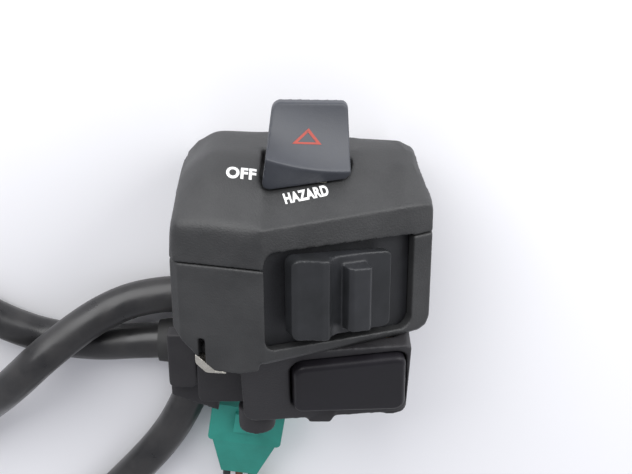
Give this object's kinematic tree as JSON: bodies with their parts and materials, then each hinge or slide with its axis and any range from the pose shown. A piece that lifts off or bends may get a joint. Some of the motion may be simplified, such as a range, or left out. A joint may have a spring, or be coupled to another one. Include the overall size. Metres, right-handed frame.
{
  "type": "handlebar switch cluster",
  "caption": "Two-shell handlebar switch cluster with hazard key, sliding turn switch, horn button, sleeved looms and plugs.",
  "frame": {"origin": "on the handlebar's axis, in the parting plane of the two shells", "axes": "+X along the handlebar, +Y up towards the hazard key, +Z out of the switch face towards the thumb; the part lies on its back at rest"},
  "size_m": [0.1586, 0.163, 0.0481],
  "materials": {
    "shell_plastic": "fine-grained weathered black",
    "key_plastic": "smooth satin black",
    "knob_plastic": "satin black",
    "horn_plastic": "satin black",
    "panel_plastic": "satin black",
    "inner_plastic": "natural nylon",
    "terminal_board": "phenolic board",
    "contact_brass": "plain",
    "spring_steel": "plain",
    "plated_clip": "bright zinc plate, slightly yellow",
    "screw_steel": "zinc plate",
    "grommet_rubber": "matt",
    "loom_vinyl": "soft sheen vinyl sleeve",
    "wire_black": "vinyl insulation",
    "wire_brown": "vinyl insulation",
    "wire_green": "vinyl insulation",
    "connector_teal": "satin teal green",
    "connector_dark": "satin black"
  },
  "bodies": {
    "housing": {"upper_shell": "shell_plastic", "lower_shell": "shell_plastic", "horn_housing": "shell_plastic", "loom_outlet": "shell_plastic", "hazard_base": "terminal_board", "turn_panel": "panel_plastic", "turn_base": "terminal_board", "turn_plunger": "contact_brass", "turn_plunger_spring": "spring_steel", "horn_base": "terminal_board", "horn_spring": "spring_steel", "horn_contact": "contact_brass", "cable_clip": "plated_clip", "rear_clamp_screws": "screw_steel", "front_clamp_screw": "screw_steel", "horn_housing_screws": "screw_steel", "grommet_1": "grommet_rubber", "grommet_2": "grommet_rubber", "loom_1": "loom_vinyl", "loom_2": "loom_vinyl", "wire_black": "wire_black", "wire_brown": "wire_brown", "wire_green": "wire_green", "connector_green": "connector_teal", "connector_black": "connector_dark"},
    "hazard_switch": {"hazard_key": "key_plastic", "hazard_carrier": "inner_plastic", "hazard_contact": "contact_brass", "hazard_detent_leaf": "spring_steel"},
    "turn_slider": {"turn_carriage": "inner_plastic", "turn_contacts": "contact_brass"},
    "turn_button": {"turn_knob": "knob_plastic"},
    "horn_push_button": {"horn_button": "horn_plastic"}
  },
  "joints": [
    {"name": "hazard_slide", "type": "slide", "parent": "housing", "child": "hazard_switch", "axis": [0, 1, 0], "range_m": [0, 0.004]},
    {"name": "turn_slide", "type": "slide", "parent": "housing", "child": "turn_slider", "axis": [0.8779, 0, -0.4789], "range_m": [-0.004, 0.004], "stiffness_N_per_m": 300},
    {"name": "turn_push", "type": "slide", "parent": "turn_slider", "child": "turn_button", "axis": [-0.4789, 0, -0.8779], "range_m": [0, 0.0015], "stiffness_N_per_m": 800},
    {"name": "horn_push", "type": "slide", "parent": "housing", "child": "horn_push_button", "axis": [-0.1813, 0.3808, -0.9067], "range_m": [0, 0.002], "stiffness_N_per_m": 700}
  ]
}
